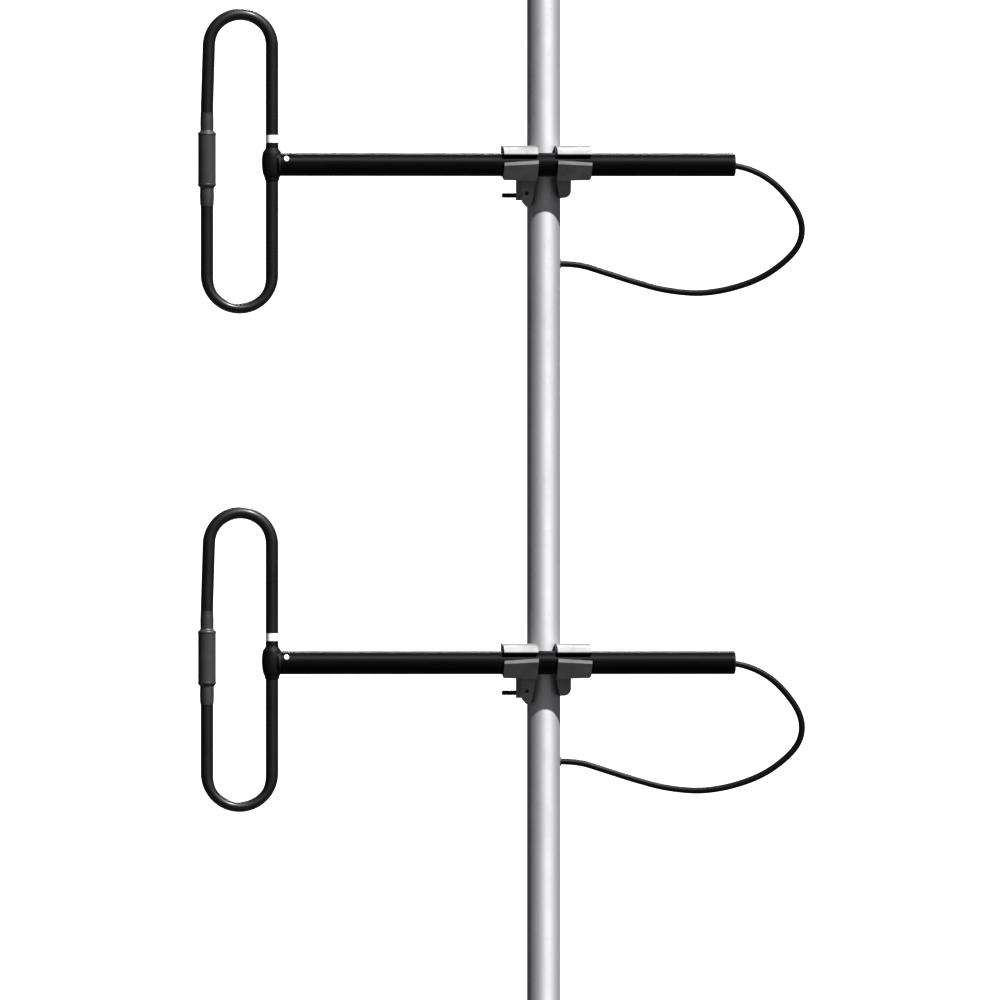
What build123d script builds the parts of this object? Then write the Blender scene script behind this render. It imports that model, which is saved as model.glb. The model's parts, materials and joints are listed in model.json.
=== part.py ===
from build123d import *
import math
import os

os.makedirs("parts", exist_ok=True)

# Two-bay stacked folded-dipole antenna on a pipe mast. Millimetres, +Z up the mast.
# The origin is on the mast axis, at the shoulder where the full pipe meets the spigot below it.
# -Y is the front, where the booms cross the mast. The dipoles are at -X, the booms' rear ends at +X.

# Mast: 1 inch aluminium pipe with a turned-down spigot that fits the bore of the same pipe
MAST_OD = 33.4
MAST_WALL = 3.4
MAST_LENGTH = 1100.0
SPIGOT_OD = 26.4
SPIGOT_BORE = 21.4
SPIGOT_LENGTH = 80.0
SPIGOT_CHAMFER = 1.5
SPIGOT_BORE_TOP = 6.0
MAST_R = MAST_OD / 2
MAST_BORE_R = MAST_R - MAST_WALL

# Bays: the height of each boom's axis
BAYS = {"lower": 400.0, "upper": 900.0}

# Boom, crossing in front of the mast
BOOM_OD = 23.3
BOOM_WALL = 2.0
BOOM_FRONT_X = -268.5
BOOM_REAR_X = 188.6
BOOM_R = BOOM_OD / 2
BOOM_BORE_R = BOOM_R - BOOM_WALL
CLAMP_WEB = 4.65
BOOM_Y = -(MAST_R + CLAMP_WEB + BOOM_R)

# Folded dipole: two J-shaped arms make a loop with its long sides parallel to the mast.
# Heights in a bay are measured from the boom's axis.
LOOP_TUBE_OD = 12.4
LOOP_TUBE_WALL = 1.5
LOOP_INNER_X = -277.1
LOOP_OUTER_X = -342.6
TOP_BEND_R = 31.8
LOOP_TOP = 156.3
LOOP_BOTTOM = -149.8
LOOP_R = LOOP_TUBE_OD / 2
LOOP_BORE_R = LOOP_R - LOOP_TUBE_WALL
BOTTOM_BEND_R = (LOOP_INNER_X - LOOP_OUTER_X) / 2

# Joint of the two arms, at the middle of the outer side
JOINT_Z = 5.0
SLEEVE_R = 8.8
SLEEVE_LENGTH = 55.0
SLEEVE_ROUND = 1.6
UPPER_COLLAR_R = 6.5
LOWER_COLLAR_R = 6.95
COLLAR_LENGTH = 19.5
COLLAR_TAPER = 3.0
COLLAR_EDGE = 0.15
JOINT_SPIGOT_LENGTH = 60.0
JOINT_SPIGOT_CHAMFER = 1.0
KNEE_Z = 57.0
KNEE_R = 300.0

# Feed point, at the middle of the inner side
CASTING_TOP = 21.7
CASTING_NECK_R = 6.3
CASTING_NECK_BOTTOM = 16.0
CASTING_BOTTOM = -16.5
CASTING_FOOT_R = 7.2
CASTING_FOOT_TOP = -14.0
CASTING_BELLY = ((9.2, 12.0), (10.2, 3.0), (8.9, -10.0))
CASTING_SHOULDER_X = -272.1
ARM_SOCKET_TOP = -8.0
TENON_LENGTH = 30.0
INSULATOR_R = 6.05
INSULATOR_TOP = 29.7
INSULATOR_TENON_R = 4.5
INSULATOR_TENON = 7.5
FEED_PIN_R = 1.5
FEED_PIN_BOTTOM = -4.0
FEED_PIN_TOP = 44.0
FEED_HEAD_HEIGHT = 6.0
FEED_BORE_R = 2.4
FEED_BORE_END = 0.5

# Screws that hold the boom tube on the feed casting
BOOM_SCREW_X = -263.6
BOOM_SCREW_TILT = 26.0
BOOM_SCREW_R = 1.5
BOOM_SCREW_HEAD_R = 3.25
BOOM_SCREW_HEAD = 2.2
BOOM_SCREW_DOME = 1.6
BOOM_SCREW_DEPTH = 7.0
SPOTFACE_DEPTH = 0.5
SPOTFACE_CLEARANCE = 0.1
CROSS_LENGTH = 3.2
CROSS_WIDTH = 0.6
CROSS_DEPTH = 0.8

# Coaxial cable: one run per bay, from the feed point through the boom, across to the mast
CABLE_OD = 6.2
CABLE_R = CABLE_OD / 2
CABLE_DROP = -0.3
COAX_CLEARANCE = 0.2
COAX_JACKET_X = -271.0
COAX_DIELECTRIC_X = -273.5
COAX_DIELECTRIC_R = 1.8
COAX_CORE_R = 0.7

# Plug in the boom's rear end
PLUG_FLANGE = 1.2
PLUG_FLANGE_R = 11.3
PLUG_ROUND = 0.9
PLUG_DEPTH = 16.0
PLUG_RECESS_R = 6.5
PLUG_RECESS = 12.0
PLUG_FACE_X = BOOM_REAR_X + PLUG_FLANGE
CABLE_START_X = PLUG_FACE_X - PLUG_RECESS

# Cable entry in the mast, on its +X side below each boom
ENTRY_Z = -99.5
GROMMET_R = 4.6
GROMMET_INNER_X = 12.9
GROMMET_FACE_X = 17.3

# Free cable between the boom's rear end and the mast, from the plug's recess to the grommet's face.
# Heights are measured from the boom's axis.
CABLE_ROUTE = [
    (CABLE_START_X, BOOM_Y, CABLE_DROP),
    (192.5, BOOM_Y, CABLE_DROP),
    (217.5, -32.5, -9.5),
    (237.5, -31.0, -25.0),
    (257.5, -28.5, -52.0),
    (258.5, -26.0, -76.0),
    (244.5, -22.5, -95.5),
    (214.0, -17.5, -117.0),
    (166.0, -11.5, -130.0),
    (125.0, -7.0, -127.0),
    (92.0, -3.5, -118.0),
    (59.5, -1.0, -107.5),
    (34.5, 0.0, ENTRY_Z),
    (GROMMET_FACE_X, 0.0, ENTRY_Z),
]
ARC_SHARE = 0.45
BEND_LIMIT = 5 * CABLE_OD

# Clamp: one casting grips the mast and carries the boom, and two caps close over the boom
FIT = 0.05
OVERCUT = 1.0
WING_INNER_X = 9.8
WING_OUTER_X = 44.3
SEAT_TOP_Z = 4.0
# front outline of a lower jaw, as (y from the boom's axis, z), from its lip down to its bottom edge
JAW_INNER_END = ((-18.9, SEAT_TOP_Z), (-18.1, 0.3), (-3.4, -16.4))
JAW_OUTER_END = ((-17.9, 1.8), (-17.2, -1.4), (-3.4, -15.6))
JAW_BACK_Y = 6.0
JAW_CORNER = 4.0
SPLIT_GAP = 1.0
CAP_R = 17.6
CAP_TOP = 17.2
CAP_LIP_Z = 9.4
CAP_FLANGE_TOP = 19.0
CAP_FLANGE_FRONT = 7.0
CAP_LIP_ROUND = 1.2
CAP_MAST_GAP = 0.6
SEAT_REAR_Y = -7.0
CLAMP_FRONT_Y = BOOM_Y - 20.0
SEAT_BOTTOM_Z = -12.0
CLAMP_ROUND = 5.0
LEFT_CHEEK_X = 26.6
RIGHT_CHEEK_X = 25.7
CHEEK_FRONT_Y = -24.0
CHEEK_REAR_Y = 28.0
REAR_SPLIT = 4.0
LEFT_CHEEK_BOTTOM = -35.6
LEFT_COLLAR_BOTTOM = -42.0
LEFT_COLLAR_TOP_X = 20.5
LEFT_COLLAR_FOOT_X = 15.0
COLLAR_TAPER_TOP = -31.5
COLLAR_FOOT_Y = -14.5
RIGHT_CHEEK_BOTTOM = -33.4
RIGHT_CHEEK_ROUND = 8.0
OPENING_FOOT_X = 14.3
CORE_HOLE_X = -19.2
CORE_HOLE_Z = -28.8
CORE_HOLE_R = 1.9
CORE_HOLE_DEPTH = 4.0
STUD_LUG_X = -19.4
STUD_LUG_Y = 15.0

# M5 cap screws, and the stud with its nut behind the mast
M5_R = 2.5
M5_CLEAR_R = 2.75
M5_HEAD_R = 4.25
M5_HEAD = 5.0
M5_KEY = 4.0
M5_KEY_DEPTH = 2.5
M5_HEAD_CHAMFER = 0.4
COUNTERBORE_R = 4.6
COUNTERBORE_DEPTH = 5.4
CAP_SCREW_X = (20.5, 37.0)
CAP_SCREW_Y = -13.0
CAP_SCREW_END = -8.0
STUD_Y = 21.5
STUD_Z = -30.6
STUD_TIP_X = -40.0
STUD_END_X = 19.0
STUD_CHAMFER = 0.6
WASHER_R = 5.0
WASHER_THICKNESS = 1.0
NUT_THICKNESS = 4.0
NUT_ACROSS_FLATS = 8.0

# Power splitter and output, inside the mast
SPLITTER_BOTTOM = 515.0
SPLITTER_TOP = 585.0
SPLITTER_R = 12.6
SPLITTER_SOCKET = 8.0
SPLITTER_CHAMFER = 1.0
HARNESS_X = -9.0
HARNESS_BEND = 16.0
OUTPUT_X = 3.0
OUTPUT_Y = 8.4
OUTPUT_BEND_TOP = 120.0
OUTPUT_BEND_BOTTOM = 40.0
CONNECTOR_THREAD_R = 7.94
CONNECTOR_THREAD = 11.0
CONNECTOR_FLANGE = 3.0
CONNECTOR_BODY_R = 6.5
CONNECTOR_BODY = 12.0
CONNECTOR_BORE_R = 4.1
CONNECTOR_PIN_R = 1.55
CONNECTOR_PIN_SET_BACK = 3.0
CONNECTOR_WALL = 2.0

MAST_CAP_HEIGHT = 3.0
MAST_CAP_DEPTH = 15.0
MAST_CAP_ROUND = 1.5


def rod_x(radius, x0, x1, y=0.0, z=0.0):
    """A cylinder along X."""
    return Pos((x0 + x1) / 2, y, z) * Rot(0, 90, 0) * Cylinder(radius, x1 - x0)


def rod_z(radius, z0, z1, x=0.0, y=0.0):
    """A cylinder along Z."""
    return Pos(x, y, (z0 + z1) / 2) * Cylinder(radius, z1 - z0)


def block(x0, x1, y0, y1, z0, z1):
    """A box between two corners."""
    return Pos((x0 + x1) / 2, (y0 + y1) / 2, (z0 + z1) / 2) * Box(x1 - x0, y1 - y0, z1 - z0)


def plate_y(outline, y0, y1):
    """A flat outline of (x, z) points, extruded along Y."""
    face = make_face(Polyline(*[(x, y0, z) for x, z in outline], close=True))
    return extrude(face, amount=y1 - y0, dir=(0, 1, 0))


def plate_x(outline, x0, x1):
    """A flat outline of (y, z) points, extruded along X."""
    face = make_face(Polyline(*[(x0, y, z) for y, z in outline], close=True))
    return extrude(face, amount=x1 - x0, dir=(1, 0, 0))


def column(x0, x1, y0, y1, z0, z1, corner):
    """A box with its four upright edges rounded."""
    outline = Pos((x0 + x1) / 2, (y0 + y1) / 2, z0) * RectangleRounded(x1 - x0, y1 - y0, corner)
    return extrude(outline, amount=z1 - z0)


def turned(profile, x=0.0, y=0.0):
    """A closed profile of (radius, z) points, turned about an upright axis at x, y."""
    face = make_face(Polyline(*[(r, 0, z) for r, z in profile], close=True))
    return Pos(x, y, 0) * revolve(face, Axis.Z)


def cable(points, name=""):
    """A round cable along straight runs that are joined by the largest arcs they have room for."""
    points = [Vector(*p) for p in points]
    runs = [b - a for a, b in zip(points, points[1:])]
    radii = []
    for before, after in zip(runs, runs[1:]):
        half_turn = math.radians(before.get_angle(after) / 2)
        radii.append(ARC_SHARE * min(before.length, after.length) / math.tan(half_turn))
    path = FilletPolyline(*points, radius=radii) if radii else Line(*points)
    solid = sweep(Plane(points[0], z_dir=runs[0]) * Circle(CABLE_R), path=path)
    if name:
        share = solid.volume / (math.pi * CABLE_R**2 * path.length)
        print(name, "length", round(path.length, 1), "radii", [round(r) for r in radii])
        print(name, "least allowed", BEND_LIMIT, "volume over section x length", round(share, 4))
    return solid


# ---- loop, feed point and boom: one bay, with the boom's axis at z = 0 ----


def loop_arm(inner_end, side, bend_r):
    """A J-shaped tube: up (side 1) or down (side -1) from the feed, round the bend, back to the joint.
    A bend narrower than the loop's width leaves the outer leg leaning out, as far as a slight knee."""
    extreme = LOOP_TOP if side > 0 else LOOP_BOTTOM
    centre_x = LOOP_INNER_X - bend_r
    bend_z = extreme - side * (LOOP_R + bend_r)
    across = centre_x - LOOP_OUTER_X
    along = side * bend_z - KNEE_Z
    lean = math.acos(bend_r / math.hypot(across, along)) - math.atan2(along, across)
    start = (LOOP_INNER_X, BOOM_Y, inner_end)
    bend_in = (LOOP_INNER_X, BOOM_Y, bend_z)
    bend_top = (centre_x, BOOM_Y, bend_z + side * bend_r)
    bend_out = (centre_x - bend_r * math.cos(lean), BOOM_Y, bend_z + side * bend_r * math.sin(lean))
    knee = (LOOP_OUTER_X, BOOM_Y, side * KNEE_Z)
    end = (LOOP_OUTER_X, BOOM_Y, JOINT_Z)
    path = Line(start, bend_in)
    path += ThreePointArc(bend_in, bend_top, bend_out)
    if lean > math.radians(0.1):
        path += FilletPolyline(bend_out, knee, end, radius=KNEE_R)
    else:
        path += Line(bend_out, end)
    ring = Circle(LOOP_R) - Circle(LOOP_BORE_R)
    return sweep(Plane(start, z_dir=(0, 0, side)) * ring, path=path)


def joint_sleeve():
    """Thick cover over the joint of the two arms, with rounded ends."""
    low = JOINT_Z - SLEEVE_LENGTH / 2
    high = JOINT_Z + SLEEVE_LENGTH / 2
    outer = rod_z(SLEEVE_R, low, high, LOOP_OUTER_X, BOOM_Y)
    outer = fillet(outer.edges().filter_by(GeomType.CIRCLE), SLEEVE_ROUND)
    return outer - rod_z(LOOP_R, low, high, LOOP_OUTER_X, BOOM_Y)


def joint_collars():
    """Two thin collars that seal the sleeve's ends on the tube, thinning away from the sleeve."""
    collars = []
    for side, collar_r in ((1, UPPER_COLLAR_R), (-1, LOWER_COLLAR_R)):
        near = JOINT_Z + side * SLEEVE_LENGTH / 2
        far = near + side * COLLAR_LENGTH
        profile = [
            (LOOP_R, near),
            (collar_r, near),
            (collar_r, far - side * COLLAR_TAPER),
            (LOOP_R + COLLAR_EDGE, far),
            (LOOP_R, far),
        ]
        collars.append(turned(profile, LOOP_OUTER_X, BOOM_Y))
    return Compound(children=collars)


def joint_spigot():
    """Rod inside both arms' ends, which carries the joint."""
    half = JOINT_SPIGOT_LENGTH / 2
    rod = rod_z(LOOP_BORE_R, JOINT_Z - half, JOINT_Z + half, LOOP_OUTER_X, BOOM_Y)
    return chamfer(rod.edges().filter_by(GeomType.CIRCLE), JOINT_SPIGOT_CHAMFER)


def feed_casting():
    """T-shaped casting: a round belly on the loop's inner side, with a tenon into the boom tube."""
    top, _, bottom = CASTING_BELLY
    side = ThreePointArc(*[(r, 0, z) for r, z in CASTING_BELLY])
    neck_end = (CASTING_NECK_R, 0, CASTING_NECK_BOTTOM)
    foot_start = (CASTING_FOOT_R, 0, CASTING_FOOT_TOP)
    outline = Polyline((0, 0, CASTING_TOP), (CASTING_NECK_R, 0, CASTING_TOP), neck_end)
    outline += Line(neck_end, (top[0], 0, top[1]))
    outline += side
    outline += Line((bottom[0], 0, bottom[1]), foot_start)
    outline += Polyline(foot_start, (CASTING_FOOT_R, 0, CASTING_BOTTOM), (0, 0, CASTING_BOTTOM))
    outline += Line((0, 0, CASTING_BOTTOM), (0, 0, CASTING_TOP))
    body = Pos(LOOP_INNER_X, BOOM_Y, 0) * revolve(make_face(outline), Axis.Z)
    tube_end = BOOM_FRONT_X + BOOM_R
    body -= block(BOOM_FRONT_X, tube_end, BOOM_Y - BOOM_R, BOOM_Y + BOOM_R, -BOOM_R, BOOM_R)
    shoulder = rod_x(BOOM_R, CASTING_SHOULDER_X, BOOM_FRONT_X, BOOM_Y)
    tenon = rod_x(BOOM_BORE_R, BOOM_FRONT_X, BOOM_FRONT_X + TENON_LENGTH, BOOM_Y)
    body = body + shoulder + tenon
    body -= rod_z(LOOP_R, CASTING_BOTTOM, ARM_SOCKET_TOP, LOOP_INNER_X, BOOM_Y)
    tenon_bottom = CASTING_TOP - INSULATOR_TENON
    body -= rod_z(INSULATOR_TENON_R, tenon_bottom, CASTING_TOP, LOOP_INNER_X, BOOM_Y)
    body -= rod_z(FEED_BORE_R, FEED_PIN_BOTTOM - FEED_BORE_END, tenon_bottom, LOOP_INNER_X, BOOM_Y)
    coax_bore = CABLE_R + COAX_CLEARANCE
    body -= rod_x(coax_bore, LOOP_INNER_X, BOOM_FRONT_X + TENON_LENGTH, BOOM_Y, CABLE_DROP)
    for screw in boom_screw_places():
        body -= screw * rod_z(BOOM_SCREW_R, -BOOM_SCREW_DEPTH, 0)
    return body


def feed_insulator():
    """White ring that parts the fed arm from the casting, with a tenon into each."""
    tenon = CASTING_TOP - INSULATOR_TENON
    body = rod_z(INSULATOR_R, CASTING_TOP, INSULATOR_TOP, LOOP_INNER_X, BOOM_Y)
    body += rod_z(INSULATOR_TENON_R, tenon, CASTING_TOP, LOOP_INNER_X, BOOM_Y)
    body += rod_z(LOOP_BORE_R, INSULATOR_TOP, INSULATOR_TOP + INSULATOR_TENON, LOOP_INNER_X, BOOM_Y)
    return body - rod_z(FEED_PIN_R, tenon, INSULATOR_TOP + INSULATOR_TENON, LOOP_INNER_X, BOOM_Y)


def feed_pin():
    """Brass pin from the coax core, through the insulator, to a head that fills the fed arm's bore."""
    head = FEED_PIN_TOP - FEED_HEAD_HEIGHT
    pin = rod_z(FEED_PIN_R, FEED_PIN_BOTTOM, head, LOOP_INNER_X, BOOM_Y)
    return pin + rod_z(LOOP_BORE_R, head, FEED_PIN_TOP, LOOP_INNER_X, BOOM_Y)


def boom_screw_places():
    """The two screws' seats on the boom, front and back, with +Z pointing outwards."""
    seat = BOOM_R - SPOTFACE_DEPTH
    places = []
    for turn in (90 - BOOM_SCREW_TILT, -90 - BOOM_SCREW_TILT):
        places.append(Pos(BOOM_SCREW_X, BOOM_Y, 0) * Rot(turn, 0, 0) * Pos(0, 0, seat))
    return places


def boom_screws():
    """Two domed cross-head screws."""
    screws = []
    for place in boom_screw_places():
        head = Cylinder(BOOM_SCREW_HEAD_R, BOOM_SCREW_HEAD, align=(Align.CENTER, Align.CENTER, Align.MIN))
        head = fillet(head.faces().sort_by(Axis.Z)[-1].edges(), BOOM_SCREW_DOME)
        cross = Box(CROSS_LENGTH, CROSS_WIDTH, 2 * CROSS_DEPTH)
        cross += Box(CROSS_WIDTH, CROSS_LENGTH, 2 * CROSS_DEPTH)
        head -= Pos(0, 0, BOOM_SCREW_HEAD) * cross
        screws.append(place * (head + rod_z(BOOM_SCREW_R, -BOOM_SCREW_DEPTH, 0)))
    return Compound(children=screws)


def boom_tube():
    """Plain tube with a spot-faced screw hole front and back near the dipole."""
    tube = rod_x(BOOM_R, BOOM_FRONT_X, BOOM_REAR_X, BOOM_Y)
    tube -= rod_x(BOOM_BORE_R, BOOM_FRONT_X, BOOM_REAR_X, BOOM_Y)
    for screw in boom_screw_places():
        tube -= screw * rod_z(BOOM_SCREW_HEAD_R + SPOTFACE_CLEARANCE, 0, OVERCUT)
        tube -= screw * rod_z(BOOM_SCREW_R, -BOOM_WALL - OVERCUT, OVERCUT)
    return tube


def boom_plug():
    """Plug in the boom's rear end. A wide recess behind its face lets the cable bend as it leaves."""
    plug = rod_x(BOOM_BORE_R, BOOM_REAR_X - PLUG_DEPTH, BOOM_REAR_X, BOOM_Y)
    flange = rod_x(PLUG_FLANGE_R, BOOM_REAR_X, PLUG_FACE_X, BOOM_Y)
    flange = fillet(flange.faces().sort_by(Axis.X)[-1].edges(), PLUG_ROUND)
    plug += flange
    plug -= rod_x(PLUG_RECESS_R, CABLE_START_X, PLUG_FACE_X, BOOM_Y)
    return plug - rod_x(CABLE_R, BOOM_REAR_X - PLUG_DEPTH, CABLE_START_X, BOOM_Y, CABLE_DROP)


def boom_coax():
    """Coax from the feed pin to the plug's recess, stripped in two steps at the feed end."""
    coax = rod_x(CABLE_R, COAX_JACKET_X, CABLE_START_X, BOOM_Y, CABLE_DROP)
    coax += rod_x(COAX_DIELECTRIC_R, COAX_DIELECTRIC_X, COAX_JACKET_X, BOOM_Y, CABLE_DROP)
    core = rod_x(COAX_CORE_R, LOOP_INNER_X, COAX_DIELECTRIC_X, BOOM_Y, CABLE_DROP)
    core -= rod_z(FEED_PIN_R, FEED_PIN_BOTTOM, CASTING_TOP, LOOP_INNER_X, BOOM_Y)
    return coax + core


# ---- clamp: one bay, with the boom's axis at z = 0 ----


def jaw_section(front, x):
    """Upright section of the right lower jaw at x, closed behind the boom."""
    outline = [*front, (JAW_BACK_Y, front[-1][1]), (JAW_BACK_Y, front[0][1])]
    return make_face(Polyline(*[(x, BOOM_Y + y, z) for y, z in outline], close=True))


def right_wing():
    """Lower jaw on the right: an upright lip, under it a face that slopes back beneath the boom."""
    ends = [jaw_section(JAW_INNER_END, WING_INNER_X), jaw_section(JAW_OUTER_END, WING_OUTER_X)]
    wing = loft(ends, ruled=True)
    bottom = JAW_INNER_END[-1][1]
    room = block(WING_INNER_X, WING_OUTER_X, CLAMP_FRONT_Y, BOOM_Y + JAW_BACK_Y, bottom, SEAT_TOP_Z)
    corner = room.edges().filter_by(Axis.Y).sort_by(lambda e: e.center().X - e.center().Z)[-1]
    return wing & fillet(corner, JAW_CORNER)


def left_cheek_outline():
    """Left cheek seen from the front: its foot runs on down the mast as a short collar."""
    return [
        (-LEFT_CHEEK_X, SEAT_TOP_Z),
        (-LEFT_CHEEK_X, LEFT_CHEEK_BOTTOM),
        (-LEFT_COLLAR_TOP_X, LEFT_CHEEK_BOTTOM),
        (-LEFT_COLLAR_FOOT_X, LEFT_COLLAR_BOTTOM),
        (-REAR_SPLIT, LEFT_COLLAR_BOTTOM),
        (-REAR_SPLIT, SEAT_TOP_Z),
    ]


def right_cheek():
    """Right cheek, with a rounded lower corner."""
    cheek = block(REAR_SPLIT, RIGHT_CHEEK_X, CHEEK_FRONT_Y, CHEEK_REAR_Y, RIGHT_CHEEK_BOTTOM, SEAT_TOP_Z)
    corner = cheek.edges().filter_by(Axis.Y).sort_by(lambda e: e.center().X - e.center().Z)[-1]
    return fillet(corner, RIGHT_CHEEK_ROUND)


def clamp_body():
    """Casting between the boom and the mast: a seat and lower jaws in front, two cheeks behind."""
    wing = right_wing()
    body = wing + mirror(wing, about=Plane.YZ)
    seat = column(
        -WING_OUTER_X, WING_OUTER_X, CLAMP_FRONT_Y, SEAT_REAR_Y, SEAT_BOTTOM_Z, SEAT_TOP_Z, CLAMP_ROUND
    )
    body += seat - block(-WING_OUTER_X, WING_OUTER_X, CLAMP_FRONT_Y, BOOM_Y, SEAT_BOTTOM_Z, SEAT_TOP_Z)
    cheeks = plate_y(left_cheek_outline(), CHEEK_FRONT_Y, CHEEK_REAR_Y) + right_cheek()
    cheeks += block(-REAR_SPLIT, REAR_SPLIT, CHEEK_FRONT_Y, 0.0, SEAT_BOTTOM_Z, SEAT_TOP_Z)
    cheeks &= column(
        -LEFT_CHEEK_X,
        RIGHT_CHEEK_X,
        CHEEK_FRONT_Y,
        CHEEK_REAR_Y,
        LEFT_COLLAR_BOTTOM,
        SEAT_TOP_Z,
        CLAMP_ROUND,
    )
    body += cheeks
    # the stud's left lug stands back from the cheek, to make room for the nut
    body -= block(-LEFT_CHEEK_X, STUD_LUG_X, STUD_LUG_Y, CHEEK_REAR_Y, LEFT_COLLAR_BOTTOM, SEAT_TOP_Z)
    # the foot of the left cheek tapers back to a collar against the mast
    taper = [
        (CHEEK_FRONT_Y, COLLAR_TAPER_TOP),
        (COLLAR_FOOT_Y, LEFT_COLLAR_BOTTOM),
        (CHEEK_FRONT_Y, LEFT_COLLAR_BOTTOM),
    ]
    body -= plate_x(taper, -LEFT_CHEEK_X, 0.0)
    # slot between the wings, and the opening that shows the mast under the boom
    body -= block(-WING_INNER_X, WING_INNER_X, CLAMP_FRONT_Y, CHEEK_FRONT_Y, LEFT_COLLAR_BOTTOM, SEAT_TOP_Z)
    opening = [
        (-WING_INNER_X, SEAT_BOTTOM_Z),
        (-OPENING_FOOT_X, LEFT_COLLAR_BOTTOM),
        (OPENING_FOOT_X, LEFT_COLLAR_BOTTOM),
        (OPENING_FOOT_X, RIGHT_CHEEK_BOTTOM),
        (WING_INNER_X, SEAT_BOTTOM_Z),
    ]
    body -= plate_y(opening, CLAMP_FRONT_Y, 0.0)
    # bores for the boom and the mast
    body -= rod_x(BOOM_R + FIT, -WING_OUTER_X, WING_OUTER_X, BOOM_Y)
    body -= rod_z(MAST_R + FIT, LEFT_COLLAR_BOTTOM, SEAT_TOP_Z)
    for side in (-1, 1):
        for x in CAP_SCREW_X:
            body -= rod_z(M5_R, CAP_SCREW_END - OVERCUT, SEAT_TOP_Z, side * x, CAP_SCREW_Y)
    core_hole = Pos(CORE_HOLE_X, CHEEK_FRONT_Y, CORE_HOLE_Z) * Rot(90, 0, 0)
    body -= core_hole * Cylinder(CORE_HOLE_R, 2 * CORE_HOLE_DEPTH)
    body -= rod_x(M5_CLEAR_R, STUD_LUG_X, 0.0, STUD_Y, STUD_Z)
    return body - rod_x(M5_R, 0.0, STUD_END_X, STUD_Y, STUD_Z)


def clamp_cap():
    """Right cap: a shell over the boom, and behind it a flange that stands higher, for two screws."""
    z0 = SEAT_TOP_Z + SPLIT_GAP
    cap = rod_x(CAP_R, WING_INNER_X, WING_OUTER_X, BOOM_Y)
    cap &= block(WING_INNER_X, WING_OUTER_X, BOOM_Y - CAP_R, BOOM_Y, CAP_LIP_Z, CAP_TOP)
    front_edge = cap.edges().filter_by(Axis.X).sort_by(Axis.Y)[0]
    cap = fillet(front_edge, CAP_LIP_ROUND)
    flange = column(WING_INNER_X, WING_OUTER_X, CLAMP_FRONT_Y, SEAT_REAR_Y, z0, CAP_FLANGE_TOP, CLAMP_ROUND)
    flange_y = BOOM_Y + CAP_FLANGE_FRONT
    cap += flange - block(WING_INNER_X, WING_OUTER_X, CLAMP_FRONT_Y, flange_y, z0, CAP_FLANGE_TOP)
    cap += block(WING_INNER_X, WING_OUTER_X, BOOM_Y, flange_y, CAP_LIP_Z, CAP_TOP)
    cap -= rod_x(BOOM_R + FIT, WING_INNER_X, WING_OUTER_X, BOOM_Y)
    cap -= rod_z(MAST_R + CAP_MAST_GAP, z0, CAP_FLANGE_TOP)
    for x in CAP_SCREW_X:
        cap -= rod_z(M5_CLEAR_R, z0, CAP_FLANGE_TOP, x, CAP_SCREW_Y)
        cap -= rod_z(COUNTERBORE_R, CAP_FLANGE_TOP - COUNTERBORE_DEPTH, CAP_FLANGE_TOP, x, CAP_SCREW_Y)
    return cap


def cap_screws():
    """Four M5 socket cap screws, sunk in the caps."""
    head_z = CAP_FLANGE_TOP - COUNTERBORE_DEPTH
    screws = []
    for side in (-1, 1):
        for x in CAP_SCREW_X:
            head = rod_z(M5_HEAD_R, head_z, head_z + M5_HEAD)
            head = chamfer(head.faces().sort_by(Axis.Z)[-1].edges(), M5_HEAD_CHAMFER)
            key = Pos(0, 0, head_z + M5_HEAD - M5_KEY_DEPTH) * RegularPolygon(M5_KEY / math.sqrt(3), 6)
            screw = head - extrude(key, amount=M5_KEY_DEPTH) + rod_z(M5_R, CAP_SCREW_END, head_z)
            screws.append(Pos(side * x, CAP_SCREW_Y, 0) * screw)
    return Compound(children=screws)


def pinch_stud():
    """Stud screwed into the right cheek, whose left end stands out past the nut."""
    stud = rod_x(M5_R, STUD_TIP_X, STUD_END_X, STUD_Y, STUD_Z)
    return chamfer(stud.faces().sort_by(Axis.X)[0].edges(), STUD_CHAMFER)


def pinch_washer():
    """Flat washer under the nut."""
    washer = rod_x(WASHER_R, STUD_LUG_X - WASHER_THICKNESS, STUD_LUG_X, STUD_Y, STUD_Z)
    return washer - rod_x(M5_R, STUD_LUG_X - WASHER_THICKNESS, STUD_LUG_X, STUD_Y, STUD_Z)


def pinch_nut():
    """Hexagon nut with a flat turned to the front."""
    face_x = STUD_LUG_X - WASHER_THICKNESS
    hexagon = Plane((face_x, STUD_Y, STUD_Z), z_dir=(-1, 0, 0), x_dir=(0, 0, 1))
    hexagon *= RegularPolygon(NUT_ACROSS_FLATS / math.sqrt(3), 6)
    nut = extrude(hexagon, amount=NUT_THICKNESS)
    return nut - rod_x(M5_R, face_x - NUT_THICKNESS, face_x, STUD_Y, STUD_Z)


# ---- mast and what is inside it ----


def mast_tube():
    """Pipe with a spigot at the bottom and a cable hole below each boom."""
    tube = rod_z(MAST_R, 0.0, MAST_LENGTH)
    spigot = rod_z(SPIGOT_OD / 2, -SPIGOT_LENGTH, 0.0)
    tube += chamfer(spigot.faces().sort_by(Axis.Z)[0].edges(), SPIGOT_CHAMFER)
    tube -= rod_z(MAST_BORE_R, SPIGOT_BORE_TOP, MAST_LENGTH)
    tube -= rod_z(SPIGOT_BORE / 2, -SPIGOT_LENGTH, SPIGOT_BORE_TOP)
    for height in BAYS.values():
        tube -= rod_x(GROMMET_R, 0.0, MAST_R, 0.0, height + ENTRY_Z)
    return tube


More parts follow.
